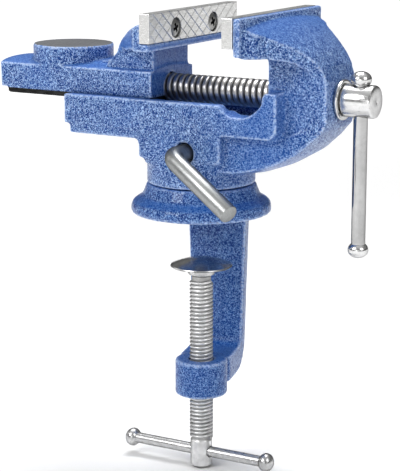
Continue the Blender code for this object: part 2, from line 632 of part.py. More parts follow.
def make_pivot_bolt(material):
    """Hexagon bolt that holds the body down on its swivel post."""
    head_top = RECESS_DEPTH - GAP - 1.2 - GAP
    head = turned([(6.4, 1.0), (6.9, 1.5), (6.9, head_top)], 6)
    bolt = as_object("pivot_bolt", head)
    join(bolt, rod(3.9, head_top - 1, CHANNEL_FLOOR - 0.4, steps=24))
    return place_piece(bolt, "pivot_bolt", material, (0, 0, 1.0))


def main():
    clear_scene()
    blue = finish_material("hammertone_blue", (0.045, 0.12, 0.5), 0.35, 0.38)
    ground = finish_material("ground_steel", (0.72, 0.72, 0.71), 1.0, 0.3)
    bright = finish_material("bright_plating", (0.82, 0.82, 0.82), 1.0, 0.14)
    thread_steel = finish_material("thread_steel", (0.42, 0.42, 0.42), 1.0, 0.35)
    zinc = finish_material("zinc_plating", (0.7, 0.7, 0.7), 1.0, 0.25)
    brushed = finish_material("brushed_rod", (0.55, 0.54, 0.52), 1.0, 0.35)
    dark = finish_material("dark_fastener", (0.3, 0.3, 0.3), 1.0, 0.4)
    make_clamp_frame(blue)
    make_vise_body(blue)
    make_moving_jaw(blue)
    make_jaw_plate("jaw_plate_fixed", FIXED_FACE_X, -1, ground)
    make_jaw_plate("jaw_plate_moving", MOVING_FACE_X, 1, ground)
    for side, y in (("near", -JAW_SCREW_Y), ("far", JAW_SCREW_Y)):
        make_jaw_screw(f"jaw_screw_fixed_{side}", FIXED_FACE_X, -1, y, dark)
        make_jaw_screw(f"jaw_screw_moving_{side}", MOVING_FACE_X, 1, y, dark)
    make_keeper(ground, dark)
    make_main_screw(thread_steel)
    axis = (0, 0, SCREW_AXIS_Z)
    ring("screw_collar", JOURNAL_RADIUS + RUN, 8.55, NOSE_X + GAP, HEAD_LEFT - GAP, 0.4,
         bright, "X", axis)
    ring("retaining_ring", 5.4, 8.0, 38.5, 39.8, 0.2, zinc, "X", axis)
    make_handle(bright)
    make_lock_lever(brushed)
    make_pivot_bolt(dark)
    ring("pivot_washer", 4.2, 6.9, RECESS_DEPTH - GAP - 1.2, RECESS_DEPTH - GAP, 0.15,
         zinc, "Z")
    make_clamp_screw(zinc)
    make_clamp_pad(bright)
    make_clamp_bar(zinc)


main()
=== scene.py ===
# %% [markdown]
# # A small bench vise
# This file dresses a finished mechanical model of a clamp-on bench vise. The model already holds
# every piece at its real size, so nothing here moves or grows: the cells below make the surfaces that
# the eye sees, which are cast iron under hammered enamel, ground steel, plated steel and oiled threads.

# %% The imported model
import json
from math import cos, pi, radians, sin

import bpy
import numpy as np
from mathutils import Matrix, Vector

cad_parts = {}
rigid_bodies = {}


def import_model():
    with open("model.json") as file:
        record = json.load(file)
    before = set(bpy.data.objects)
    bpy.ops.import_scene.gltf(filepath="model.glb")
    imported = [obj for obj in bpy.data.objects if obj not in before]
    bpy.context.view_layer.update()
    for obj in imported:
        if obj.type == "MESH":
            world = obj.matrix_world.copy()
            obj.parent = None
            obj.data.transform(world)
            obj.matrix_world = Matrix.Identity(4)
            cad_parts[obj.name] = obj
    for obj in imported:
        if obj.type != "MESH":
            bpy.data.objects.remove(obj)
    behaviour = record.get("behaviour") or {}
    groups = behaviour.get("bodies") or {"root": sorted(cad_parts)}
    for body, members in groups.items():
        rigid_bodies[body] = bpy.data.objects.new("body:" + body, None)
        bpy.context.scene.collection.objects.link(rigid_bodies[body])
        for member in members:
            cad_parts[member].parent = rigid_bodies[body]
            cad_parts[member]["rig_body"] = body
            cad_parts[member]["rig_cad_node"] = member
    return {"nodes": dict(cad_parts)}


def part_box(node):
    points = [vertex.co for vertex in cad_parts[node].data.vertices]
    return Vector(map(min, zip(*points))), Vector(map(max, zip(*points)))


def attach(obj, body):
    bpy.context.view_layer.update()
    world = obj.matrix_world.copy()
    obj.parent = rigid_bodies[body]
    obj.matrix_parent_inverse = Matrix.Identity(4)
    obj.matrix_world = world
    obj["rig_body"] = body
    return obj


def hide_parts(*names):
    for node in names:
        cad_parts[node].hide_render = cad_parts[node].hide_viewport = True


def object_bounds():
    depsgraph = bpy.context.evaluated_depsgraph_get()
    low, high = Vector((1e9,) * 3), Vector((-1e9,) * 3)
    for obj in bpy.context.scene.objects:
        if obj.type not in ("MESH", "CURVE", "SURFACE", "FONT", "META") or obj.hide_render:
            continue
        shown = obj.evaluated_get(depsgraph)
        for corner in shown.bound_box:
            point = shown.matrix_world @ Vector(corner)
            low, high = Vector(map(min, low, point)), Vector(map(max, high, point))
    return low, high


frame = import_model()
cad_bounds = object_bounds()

MM = 0.001
for shown in bpy.context.selected_objects:
    shown.select_set(False)

# %% [markdown]
# ## Where the sizes come from
# A vise is a set of pieces that share axes. Reading the axes once, from the boxes of the model's own
# nodes, keeps each later cell short and keeps every new piece in its place.

# %% Axes and sizes read from the model
def middle(node):
    """The centre of a node's box."""
    low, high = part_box(node)
    return (low + high) / 2


def size(node):
    """The three lengths of a node's box."""
    low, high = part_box(node)
    return high - low


SCREW_Z = middle("screw_collar").z
HANDLE_X = middle("handle_bar").x
BAR_Z = middle("clamp_bar").z
ANVIL_TOP = 70.9 * MM
print("main screw axis at z =", round(SCREW_Z / MM, 2), "mm")
print("handle at x =", round(HANDLE_X / MM, 2), "mm")

# %% [markdown]
# ## Node helpers
# Each finish below is a small tree of shader nodes. These helpers keep the trees readable: one starts
# a finish from a plain Principled shader, with its constant values set on the shader's own sockets,
# and the others stretch a pattern, make noise, lay colours along a value, mix and push the surface.

# %% Helpers for finishes
def start_finish(name, metallic, roughness):
    """A new material, with its node tree, its Principled shader and its Object coordinates."""
    finish = bpy.data.materials.new(name)
    finish.use_nodes = True
    tree = finish.node_tree
    shader = tree.nodes["Principled BSDF"]
    shader.inputs["Metallic"].default_value = metallic
    shader.inputs["Roughness"].default_value = roughness
    place = tree.nodes.new("ShaderNodeTexCoord").outputs["Object"]
    return finish, tree, shader, place


def stretched(tree, place, scale):
    """Object coordinates squeezed along some axes, for a pattern that runs one way."""
    mapping = tree.nodes.new("ShaderNodeMapping")
    mapping.inputs["Scale"].default_value = scale
    tree.links.new(place, mapping.inputs["Vector"])
    return mapping.outputs["Vector"]


def noise(tree, place, scale, detail=3.0, rough=0.5, twist=0.0):
    """Grey noise; a bigger scale gives smaller lumps."""
    node = tree.nodes.new("ShaderNodeTexNoise")
    node.inputs["Scale"].default_value = scale
    node.inputs["Detail"].default_value = detail
    node.inputs["Roughness"].default_value = rough
    node.inputs["Distortion"].default_value = twist
    tree.links.new(place, node.inputs["Vector"])
    return node.outputs["Fac"]


def ramp(tree, value, stops):
    """Colours laid along a value; each stop is (where, grey or colour)."""
    node = tree.nodes.new("ShaderNodeValToRGB")
    for i, (where, colour) in enumerate(stops):
        shade = colour if isinstance(colour, tuple) else (colour, colour, colour)
        stop = node.color_ramp.elements[i] if i < 2 else node.color_ramp.elements.new(where)
        stop.position = where
        stop.color = (*shade, 1)
    tree.links.new(value, node.inputs["Fac"])
    return node.outputs["Color"]


# The Mix node has one set of sockets for each kind of value; these are the places of its colours.
FIRST, SECOND, MIXED = 6, 7, 2


def mixed(tree, share, first, second, blend="MIX"):
    """Two colours mixed by a share that is a socket or a number."""
    node = tree.nodes.new("ShaderNodeMix")
    node.data_type = "RGBA"
    node.blend_type = blend
    if isinstance(share, bpy.types.NodeSocket):
        tree.links.new(share, node.inputs["Factor"])
    else:
        node.inputs["Factor"].default_value = share
    tree.links.new(first, node.inputs[FIRST])
    tree.links.new(second, node.inputs[SECOND])
    return node.outputs[MIXED]


def bumped(tree, shader, height, depth, strength):
    """Lets a height pattern, in metres of depth, tilt the surface."""
    node = tree.nodes.new("ShaderNodeBump")
    node.inputs["Distance"].default_value = depth
    node.inputs["Strength"].default_value = strength
    tree.links.new(height, node.inputs["Height"])
    tree.links.new(node.outputs["Normal"], shader.inputs["Normal"])


print("finish helpers ready")

# %% [markdown]
# ## Hammered enamel
# Hammered enamel dries into a net of bright silvery worms on a deeper blue, about a millimetre
# across, with shallow dimples between them. A picture of it would show its seams, so the net is
# grown from noise in space: twisted noise gives the worms, a ramp turns its middle band bright, and
# the same value pushes the surface in and out. A slow second noise makes some places bluer.
#
# Two values stored on the points of a casting paint light into the enamel. The first fades the worms to
# a smooth deeper blue: enamel levels on a face that points up, and there and on faces out of the light
# this smooth blue is also painted light and painted shade. The second lightens the enamel over a sharp
# outer edge, a painted highlight. The clamp frame's enamel is darker, with duller worms.

# %% The blue enamel
PAINTED_LIGHT = "painted_light"
EDGE_HIGHLIGHT = "painted_highlight"
WORM_SCALE = 1050
PATCH_SCALE = 60
PATCH_SHARE = 0.25
EDGE_HIGHLIGHT_SHARE = 0.60


def stored(tree, name):
    """A value that is stored on the points of the mesh."""
    node = tree.nodes.new("ShaderNodeAttribute")
    node.attribute_name = name
    return node.outputs["Fac"]


def hammered_enamel(name, deep, silver, glint):
    """Enamel with silvery worms, faded where painted light and shade are stored and lighter where a
    painted highlight is stored.
    """
    finish, tree, shader, place = start_finish(name, 0.0, 0.42)
    worms = noise(tree, place, WORM_SCALE, detail=1.6, rough=0.5, twist=0.6)
    patches = noise(tree, place, PATCH_SCALE, detail=2.0)
    rich = tuple(1.3 * part for part in deep)
    net = ramp(tree, worms, [(0.36, deep), (0.68, deep), (0.465, rich),
                             (0.508, silver), (0.540, glint), (0.578, rich)])
    # The smooth blue that the worms fade to, in random patches and where painted light and shade are
    # stored.
    blue = ramp(tree, worms, [(0.36, (0.002, 0.060, 0.310)), (0.68, (0.003, 0.068, 0.330)),
                              (0.51, (0.090, 0.220, 0.560)), (0.58, (0.005, 0.084, 0.360))])
    share = tree.nodes.new("ShaderNodeMath")
    share.operation = "MAXIMUM"
    tree.links.new(ramp(tree, patches, [(0.46, 0.0), (0.68, PATCH_SHARE)]), share.inputs[0])
    tree.links.new(stored(tree, PAINTED_LIGHT), share.inputs[1])
    skin = mixed(tree, share.outputs[0], net, blue)
    # A painted highlight: the enamel turns a lighter, silvery blue over sharp outer edges.
    rim = ramp(tree, worms, [(0.40, (0.16, 0.30, 0.66)), (0.56, (0.62, 0.74, 0.95))])
    highlight_share = ramp(tree, stored(tree, EDGE_HIGHLIGHT), [(0.0, 0.0), (1.0, EDGE_HIGHLIGHT_SHARE)])
    tree.links.new(mixed(tree, highlight_share, skin, rim), shader.inputs["Base Color"])
    tree.links.new(ramp(tree, worms, [(0.40, 0.46), (0.50, 0.32)]), shader.inputs["Roughness"])
    shader.inputs["IOR"].default_value = 1.4
    shader.inputs["Specular IOR Level"].default_value = 0.25
    shader.inputs["Coat Weight"].default_value = 0.22
    shader.inputs["Coat Roughness"].default_value = 0.16
    bumped(tree, shader, worms, 0.3 * MM, 0.40)
    return finish


ENAMEL = hammered_enamel("hammered_blue_enamel", deep=(0.003, 0.038, 0.190),
                         silver=(0.50, 0.66, 0.90), glint=(0.20, 0.38, 0.70))
FRAME_ENAMEL = hammered_enamel("hammered_deep_enamel", deep=(0.002, 0.030, 0.165),
                               silver=(0.32, 0.50, 0.80), glint=(0.10, 0.24, 0.54))
print("made", ENAMEL.name, "and", FRAME_ENAMEL.name)

# %% [markdown]
# ## Steels
# The steel pieces differ mostly in how they were finished. Ground steel is bright, with fine straight
# marks; a machined casting is greyer; a near-black iron stands for grease on the slide's tongue together
# with painted shade there, and for painted shade in the screws' cross recesses; plated steel is smooth
# with a faint cloudiness; drawn rod has marks along its length. One function with two shades, a
# direction and a depth of mark covers them all.

# %% The bare and plated steels
CLOUD_SCALE = 40


def steel(name, dark, bright, roughness, grain, depth, edge):
    """Bare or plated steel; marks are close together along grain's big numbers, edge tints the rim."""
    finish, tree, shader, place = start_finish(name, 1.0, roughness)
    shader.inputs["Specular Tint"].default_value = (edge, edge, edge, 1)
    marks = noise(tree, stretched(tree, place, grain), 1.0, detail=4.0, rough=0.65)
    clouds = noise(tree, place, CLOUD_SCALE)
    base = ramp(tree, marks, [(0.30, dark), (0.72, bright)])
    worn = ramp(tree, clouds, [(0.35, 0.84), (0.65, 1.0)])
    tree.links.new(mixed(tree, 1.0, base, worn, "MULTIPLY"), shader.inputs["Base Color"])
    rough = ramp(tree, marks, [(0.3, roughness * 1.25), (0.7, roughness * 0.8)])
    tree.links.new(rough, shader.inputs["Roughness"])
    bumped(tree, shader, marks, depth, 0.5)
    return finish


GROUND = steel("ground_jaw_steel", (0.66, 0.66, 0.65), (0.92, 0.92, 0.91), roughness=0.30,
               grain=(900, 90, 3500), depth=0.02 * MM, edge=0.9)
MACHINED = steel("machined_iron", (0.17, 0.175, 0.185), (0.29, 0.295, 0.31), roughness=0.46,
                 grain=(2600, 240, 900), depth=0.03 * MM, edge=0.7)
# Near-black iron: grease and painted shade on the slide's tongue, painted shade in the cross recesses.
GREASE_AND_SHADE_IRON = steel("greased_iron_and_painted_shade", 0.012, 0.05, roughness=0.42,
              grain=(240, 900, 900), depth=0.02 * MM, edge=0.3)
CHROME = steel("bright_plating", 0.76, 0.86, roughness=0.23,
               grain=(350, 350, 350), depth=0.01 * MM, edge=0.30)
POLISHED = steel("polished_bar_steel", 0.44, 0.54, roughness=0.13,
                 grain=(350, 350, 350), depth=0.01 * MM, edge=0.1)
ZINC = steel("zinc_plating", 0.58, 0.76, roughness=0.30,
             grain=(600, 600, 500), depth=0.015 * MM, edge=0.05)
ROD = steel("drawn_rod_steel", (0.32, 0.33, 0.33), (0.46, 0.47, 0.47), roughness=0.38,
            grain=(700, 2600, 700), depth=0.01 * MM, edge=0.05)
FASTENER = steel("plain_screw_steel", (0.30, 0.30, 0.29), (0.52, 0.52, 0.51), roughness=0.32,
                 grain=(1200, 1200, 300), depth=0.02 * MM, edge=0.5)
for made in (GROUND, MACHINED, GREASE_AND_SHADE_IRON, CHROME, POLISHED, ZINC, ROD, FASTENER):
    print("made", made.name)

# %% [markdown]
# ## The oiled thread
# On a thread the root is dark and the crest bright: oil and dirt collect in the root and the crest is
# rubbed bright, and the dark root is also painted shade. Distance from the screw's axis tells root from
# crest, so it drives the colour: two of the three coordinates are combined into a length, and a ramp
# runs from dark root to bright crest.

# %% Steel that is darker in the roots
GRIME_SCALE = 300


def thread_steel(name, axis_point, along, root, crest, dark, bright):
    """Steel coloured by its distance from an axis: dark at the root radius, for dirt and painted shade,
    bright at the crest.
    """
    finish, tree, shader, place = start_finish(name, 1.0, 0.34)
    shader.inputs["Specular Tint"].default_value = (0.15, 0.15, 0.15, 1)
    shift = tree.nodes.new("ShaderNodeVectorMath")
    shift.operation = "SUBTRACT"
    shift.inputs[1].default_value = axis_point
    tree.links.new(place, shift.inputs[0])
    flat = tree.nodes.new("ShaderNodeVectorMath")
    flat.operation = "MULTIPLY"
    flat.inputs[1].default_value = [0 if letter == along else 1 for letter in "XYZ"]
    tree.links.new(shift.outputs[0], flat.inputs[0])
    length = tree.nodes.new("ShaderNodeVectorMath")
    length.operation = "LENGTH"
    tree.links.new(flat.outputs[0], length.inputs[0])
    share = tree.nodes.new("ShaderNodeMapRange")
    share.inputs["From Min"].default_value = root
    share.inputs["From Max"].default_value = crest
    tree.links.new(length.outputs["Value"], share.inputs["Value"])
    grime = noise(tree, place, GRIME_SCALE)
    base = ramp(tree, share.outputs["Result"], [(0.0, dark), (0.6, bright)])
    spots = ramp(tree, grime, [(0.35, 0.78), (0.62, 1.0)])
    tree.links.new(mixed(tree, 1.0, base, spots, "MULTIPLY"), shader.inputs["Base Color"])
    rough = ramp(tree, share.outputs["Result"], [(0.0, 0.5), (0.9, 0.33)])
    tree.links.new(rough, shader.inputs["Roughness"])
    return finish


OILED = thread_steel("oiled_thread_steel", (0, 0, SCREW_Z), "X", 4.9 * MM, 6.1 * MM,
                     dark=0.10, bright=(0.60, 0.59, 0.58))
PLATED_THREAD = thread_steel("plated_thread_steel", (0, 0, 0), "Z", 4.3 * MM, 5.3 * MM,
                             dark=0.44, bright=0.92)
print("made", OILED.name, "and", PLATED_THREAD.name)

# %% [markdown]
# ## Modelling helpers
# Operators act on everything that is selected, so each helper first clears the selection. A piece is
# modelled at the origin, laid along its axis and then settled: the turn and the place are applied, so
# that they are in its mesh. Cutters are thrown away once they have cut.

# %% Helpers for pieces
def deselect():
    """Leaves edit mode and selects nothing."""
    if bpy.context.object and bpy.context.object.mode != "OBJECT":
        bpy.ops.object.mode_set(mode="OBJECT")
    bpy.ops.object.select_all(action="DESELECT")


def only(piece):
    """Makes one piece the selected and active one."""
    deselect()
    piece.select_set(True)
    bpy.context.view_layer.objects.active = piece
    return piece


def started(name):
    """Names the primitive that was just added, which is the active object."""
    piece = bpy.context.object
    piece.name = name
    piece.data.name = name
    return piece


def settled(piece, turn=(0, 0, 0), place=(0, 0, 0)):
    """Turns and places a piece, then applies both, so the object itself sits at the origin."""
    only(piece)
    piece.rotation_euler = turn
    piece.location = place
    bpy.ops.object.transform_apply(location=True, rotation=True, scale=True)
    return piece


def applied(piece, kind, **values):
    """Adds a modifier with those values and applies it."""
    only(piece)
    modifier = piece.modifiers.new(kind.lower(), kind)
    for key, value in values.items():
        setattr(modifier, key, value)
    bpy.ops.object.modifier_apply(modifier=modifier.name)
    return piece


def eased(piece, width, angle=30):
    """Breaks the edges that are sharper than an angle with a small bevel."""
    return applied(piece, "BEVEL", width=width * MM, segments=2, limit_method="ANGLE",
                   angle_limit=radians(angle), use_clamp_overlap=True)


def outward(piece):
    """Merges doubled points and turns every face outwards."""
    only(piece)
    bpy.ops.object.mode_set(mode="EDIT")
    bpy.ops.mesh.select_all(action="SELECT")
    bpy.ops.mesh.remove_doubles(threshold=0.00001)
    bpy.ops.mesh.normals_make_consistent(inside=False)
    bpy.ops.object.mode_set(mode="OBJECT")
    return piece


def points_picked(piece, test):
    """Enters edit mode with only the points that pass a test selected."""
    only(piece)
    bpy.ops.object.mode_set(mode="EDIT")
    bpy.ops.mesh.select_mode(type="VERT")
    bpy.ops.mesh.select_all(action="DESELECT")
    bpy.ops.object.mode_set(mode="OBJECT")
    for vertex in piece.data.vertices:
        vertex.select = test(vertex.co)
    bpy.ops.object.mode_set(mode="EDIT")


def carved(piece, cutter):
    """Cuts one piece with another and throws the cutter away."""
    applied(piece, "BOOLEAN", operation="DIFFERENCE", object=cutter, solver="EXACT", use_self=True)
    bpy.data.objects.remove(cutter)
    return piece


def smooth(piece, angle=35):
    """Smooth shading that stays crisp past an angle."""
    only(piece)
    bpy.ops.object.shade_smooth_by_angle(angle=radians(angle))
    return piece


def finished(piece, material, body, slot, *nodes):
    """Gives a piece its finish, its body and the nodes that it stands for, which are hidden; slot is not
    used.
    """
    smooth(piece)
    piece.data.materials.clear()
    piece.data.materials.append(material)
    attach(piece, body)
    if nodes:
        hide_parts(*nodes)
    return piece


print("piece helpers ready")

# %% [markdown]
# ## The lathe
# Most of the steel pieces are round, so they are made as on a lathe. A round disc is the first face,
# and it is extruded and scaled once for each step of a profile. That keeps every section a true
# circle and leaves one closed skin, which the cutters and the bevel need.

# %% A turned piece
def turned(name, profile, sides=72):
    """A solid turned piece along +Z; the profile is (radius, height) pairs in millimetres."""
    deselect()
    radius, height = profile[0]
    bpy.ops.mesh.primitive_circle_add(vertices=sides, radius=radius * MM, fill_type="NGON",
                                      location=(0, 0, height * MM))
    piece = started(name)
    bpy.ops.object.transform_apply(location=True)
    bpy.ops.object.mode_set(mode="EDIT")
    bpy.ops.mesh.select_all(action="SELECT")
    for r, z in profile[1:]:
        bpy.ops.mesh.extrude_region_move(TRANSFORM_OT_translate={"value": (0, 0, (z - height) * MM)})
        if r != radius:
            bpy.ops.transform.resize(value=(r / radius, r / radius, 1), center_override=(0, 0, z * MM))
        radius, height = r, z
    bpy.ops.object.mode_set(mode="OBJECT")
    return outward(piece)


ALONG_X = (0, pi / 2, 0)
UPRIGHT = (0, 0, 0)
print("lathe ready")

# %% [markdown]
# ## The castings
# The body with its fixed jaw, the moving jaw and the clamp frame are iron castings. What makes iron
# look cast is that no edge is sharp: the sand mould rounds every corner and fills every inner corner.
# A bevel would have to find each edge in a shape that was cut and joined many times. Remeshing the
# whole skin into small even faces and relaxing it rounds all corners at once, inside and out, so a
# copy of the model's node is remeshed, relaxed, and given a slight unevenness.

# %% A rounded copy of a casting
def cast(node, grain, relax, wave):
    """A copy of a node's mesh with rounded corners and a slightly uneven skin."""
    deselect()
    piece = frame["nodes"][node].copy()
    piece.data = piece.data.copy()
    bpy.context.scene.collection.objects.link(piece)
    piece.parent = None
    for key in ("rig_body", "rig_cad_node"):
        del piece[key]
    piece.name = "cast_" + node
    outward(piece)
    applied(piece, "REMESH", mode="VOXEL", voxel_size=grain * MM, adaptivity=0.0)
    applied(piece, "SMOOTH", factor=0.5, iterations=relax)
    sand = bpy.data.textures.new("sand_skin_" + node, "CLOUDS")
    sand.noise_scale = 6 * MM
    applied(piece, "DISPLACE", texture=sand, strength=wave * MM, mid_level=0.5, texture_coords="GLOBAL")
    print(piece.name, len(piece.data.polygons), "faces")
    return piece


body_casting = cast("vise_body", 0.78, 3, 0.18)
jaw_casting = cast("moving_jaw", 0.60, 4, 0.16)
frame_casting = cast("clamp_frame", 0.66, 4, 0.16)

# %% [markdown]
# ## Where the enamel's worms fade
# The worms fade on a face that points up, where wet enamel runs level and its smooth blue is also
# painted light. They also fade as painted shade on faces out of the light: the moving jaw's web and
# inner face, the body's arm low down and the clamp frame's arm. A mask painted by hand would have to be
# redone whenever the shape changes, so the mask is worked out from each point's place and normal and is
# stored on the points for the enamel to read.

# %% Painted light and shade in the enamel
UP_START, UP_SPAN, UP_MOST = 0.55, 0.30, 0.8
DRESSED_AND_SHADED_SHARE = 0.9


def rising(value, start, end):
    """A share that rises from 0 at one length in millimetres to 1 at another."""
    return min(max((value / MM - start) / (end - start), 0.0), 1.0)


def dressed_and_shaded(point, normal):
    """The moving jaw's curved web and its inner face, dressed flat before spraying and given painted
    shade.
    """
    web = -40 * MM < point.x < -15.3 * MM and point.z > 71.5 * MM and abs(normal.y) > 0.6
    inner = -20 * MM < point.x < 0 and point.z > 52 * MM and normal.x > 0.6
    return web or inner


def nowhere(point):
    """No share at any point."""
    return 0.0


def body_arm_shade(point):
    """Painted shade low on the body's arm, from the rails outwards."""
    return 0.65 * rising(point.x, 10, 36) * rising(-point.z, -64, -56)


def body_nose_unshaded(point):
    """The nose of the body, where the painted shade gives way and the worms stand up again."""
    return 0.9 * rising(point.x, 44, 62)


def frame_arm_shade(point):
    """Painted shade on the clamp frame's arm, a little more towards its foot."""
    return max(0.3 * rising(-point.z, 0, 64), 0.05)


def store_painted_light(piece, least, unshaded=nowhere):
    """Stores the share of painted light and shade: never under the least share, and less where it is
    unshaded.
    """
    values = []
    for p in piece.data.vertices:
        flat = min((p.normal.z - UP_START) / UP_SPAN, UP_MOST)
        shade_share = max(flat, DRESSED_AND_SHADED_SHARE * dressed_and_shaded(p.co, p.normal), least(p.co))
        values.append(shade_share * (1 - unshaded(p.co)))
    piece.data.attributes.new(PAINTED_LIGHT, "FLOAT", "POINT").data.foreach_set("value", values)
    print(piece.name, "levelled share", round(sum(values) / len(values), 2))


store_painted_light(jaw_casting, nowhere)
store_painted_light(body_casting, body_arm_shade, body_nose_unshaded)
store_painted_light(frame_casting, frame_arm_shade)

# %% [markdown]
# ## Painted highlight on the edges
# Over a sharp outer edge the enamel is painted lighter, a painted highlight where an edge catches the
# light. How sharply a surface bends can be read from its edges: along each one the normals at its two
# ends part when the surface bends outwards. The mean over a point's edges, cut to a share from 0 to 1,
# is stored on the points.

# %% Painted highlight on the castings' edges
HIGHLIGHT_START, HIGHLIGHT_SPAN = 170, 260


def read_points(points, what):
    """One vector per point as rows of an array."""
    rows = np.empty(len(points) * 3)
    points.foreach_get(what, rows)
    return rows.reshape(-1, 3)


def store_edge_highlight(piece):
    """Stores how sharply each point bends outwards, as the share of painted highlight; the limits are in
    radians per metre.
    """
    mesh = piece.data
    place, normal = read_points(mesh.vertices, "co"), read_points(mesh.vertices, "normal")
    ends = np.empty(len(mesh.edges) * 2, dtype=int)
    mesh.edges.foreach_get("vertices", ends)
    first, second = ends.reshape(-1, 2).T
    step = place[second] - place[first]
    bend = ((normal[second] - normal[first]) * step).sum(axis=1) / (step ** 2).sum(axis=1)
    total, count = np.zeros(len(place)), np.zeros(len(place))
    for end in (first, second):
        np.add.at(total, end, bend)
        np.add.at(count, end, 1)
    share = np.clip((total / count - HIGHLIGHT_START) / HIGHLIGHT_SPAN, 0, 1)
    mesh.attributes.new(EDGE_HIGHLIGHT, "FLOAT", "POINT").data.foreach_set("value", share)
    print(piece.name, "ridge share", round(float(share.mean()), 3))


for casting in (body_casting, jaw_casting, frame_casting):
    store_edge_highlight(casting)

# %% [markdown]
# ## Bare and painted faces
# The castings are sprayed after machining, except where they work: the anvil's top and the slide's
# tongue stay bare. A face is bare by its place, so each face is given its finish by where its centre
# lies, and the enamel covers the rest. The anvil's top is first put exactly on its machined plane.

# %% Enamel outside, bare iron where it works
ANVIL_X, ANVIL_R = -67.0 * MM, 17.8 * MM
SLAB_BOTTOM = 51.2 * MM


def finish_where(piece, material, test):
    """Gives another finish to the faces that pass a test."""
    piece.data.materials.append(material)
    chosen = [face for face in piece.data.polygons if test(face)]
    for face in chosen:
        face.material_index = len(piece.data.materials) - 1
    print(piece.name, len(chosen), "faces in", material.name)


def on_anvil_top(face):
    """The disc on which work is hammered."""
    high = face.center.z > ANVIL_TOP - 0.75 * MM and face.normal.z > 0.8
    return high and abs(face.center.x - ANVIL_X) < 19 * MM


def on_tongue(face):
    """The machined tongue and keel under the slab, near black for grease and painted shade."""
    return face.center.z < SLAB_BOTTOM


for vertex in jaw_casting.data.vertices:
    if abs(vertex.co.z - ANVIL_TOP) < 0.35 * MM and abs(vertex.co.x - ANVIL_X) < ANVIL_R:
        vertex.co.z = ANVIL_TOP
finished(jaw_casting, ENAMEL, "moving_jaw", "hammertone_blue", "moving_jaw")
finish_where(jaw_casting, MACHINED, on_anvil_top)
# The tongue and keel take the near-black iron, grease together with painted shade.
finish_where(jaw_casting, GREASE_AND_SHADE_IRON, on_tongue)
finished(body_casting, ENAMEL, "vise_body", "hammertone_blue", "vise_body")
finished(frame_casting, FRAME_ENAMEL, "clamp_frame", "hammertone_blue", "clamp_frame")

# %% [markdown]
# ## Jaw plates
# Each jaw carries a hardened plate whose face is scored with two sets of slanting grooves, so that it
# grips. The plate is a block with eased edges; a row of thin square rods laid across its face
# cuts one set of grooves, a second row cuts the other, and two round holes take the screws' heads.
# Cutting real grooves costs more faces than a pattern does, but they catch the light from any side.
# The plate's back reaches a little into the rounded casting, so that no gap shows behind it.

# %% Scored jaw plates
GROOVE_STEP = 5.4
GROOVE_TILT = 37.0
GROOVE_R = 0.26
SCREW_Y, PLATE_SCREW_Z = 16.0, 82.2
SEAT_GAP = 0.28 * MM


def groove_rods(plate_x, middle_z, tilt):
    """A row of parallel thin rods across a jaw face, joined into one cutter."""
    deselect()
    rods = []
    across = GROOVE_STEP / cos(radians(90 - abs(tilt)))
    for k in range(-6, 7):
        bpy.ops.mesh.primitive_cylinder_add(vertices=4, radius=GROOVE_R * MM, depth=60 * MM)
        rod = started("groove_rod")
        rods.append(settled(rod, (radians(tilt), 0, 0), (plate_x, k * across * MM, middle_z)))
    deselect()
    for rod in rods:
        rod.select_set(True)
    bpy.context.view_layer.objects.active = rods[0]
    bpy.ops.object.join()
    return rods[0]


def jaw_plate(node, face_sign, body):
    """A block with eased edges, two sets of grooves and two screw holes, let into its seat."""
    deselect()
    centre, extent = middle(node), size(node)
    extent.x += SEAT_GAP
    centre.x -= face_sign * SEAT_GAP / 2
    bpy.ops.mesh.primitive_cube_add(size=1, location=centre)
    plate = started(node.replace("jaw_plate", "scored_plate"))
    plate.scale = extent
    settled(plate, place=centre)
    eased(plate, 0.25)
    face_x = centre.x + face_sign * extent.x / 2
    for tilt in (90 - GROOVE_TILT, GROOVE_TILT - 90):
        carved(plate, groove_rods(face_x, centre.z, tilt))
    for y in (-SCREW_Y, SCREW_Y):
        hole = turned("screw_hole", [(4.4, -2.6), (4.4, 2.6)], 48)
        settled(hole, ALONG_X, (face_x, y * MM, PLATE_SCREW_Z * MM))
        carved(plate, hole)
    finished(plate, GROUND, body, "ground_steel", node)
    smooth(plate, 12)
    print(plate.name, len(plate.data.polygons), "faces")


jaw_plate("jaw_plate_moving", 1, "moving_jaw")
jaw_plate("jaw_plate_fixed", -1, "vise_body")

# %% [markdown]
# ## Jaw screws
# The four screws that hold the plates have low domed heads with a cross recess. The head is turned,
# and two thin wedges crossed at right angles cut the recess. One screw is modelled along +Z and
# copied to the four places, turned towards +X in the moving jaw and towards -X in the fixed one.

# %% Cross-recessed screws
CROWN_R, CROWN_RISE, CROWN_BASE = 4.1, 1.15, -0.9
CROSS_SIZE = (6.0, 1.7, 2.6)
CROSS_TURN = 0.4
CROWN_ANGLES = (0.15, 0.4, 0.65, 0.9, 1.15, 1.35)


def cross_wedge(turn):
    """A thin block that narrows with depth, to cut one bar of the cross."""
    deselect()
    bpy.ops.mesh.primitive_cube_add(size=1)
    wedge = started("cross_wedge")
    wedge.scale = [length * MM for length in CROSS_SIZE]
    bpy.ops.object.transform_apply(scale=True)
    points_picked(wedge, lambda point: point.z < 0)
    bpy.ops.transform.resize(value=(0.35, 0.5, 1))
    bpy.ops.object.mode_set(mode="OBJECT")
    return settled(wedge, (0, 0, turn))


def jaw_screw():
    """A screw along +Z whose crown stands just above height 0."""
    crown = [(CROWN_R * cos(a), CROWN_BASE + CROWN_RISE * sin(a)) for a in CROWN_ANGLES]
    screw = turned("screw_pattern", [(2.2, -6.5), (2.2, -1.9), (4.0, -1.9), (CROWN_R, -1.6), *crown], 48)
    for turn in (CROSS_TURN, CROSS_TURN + pi / 2):
        carved(screw, cross_wedge(turn))
    return screw


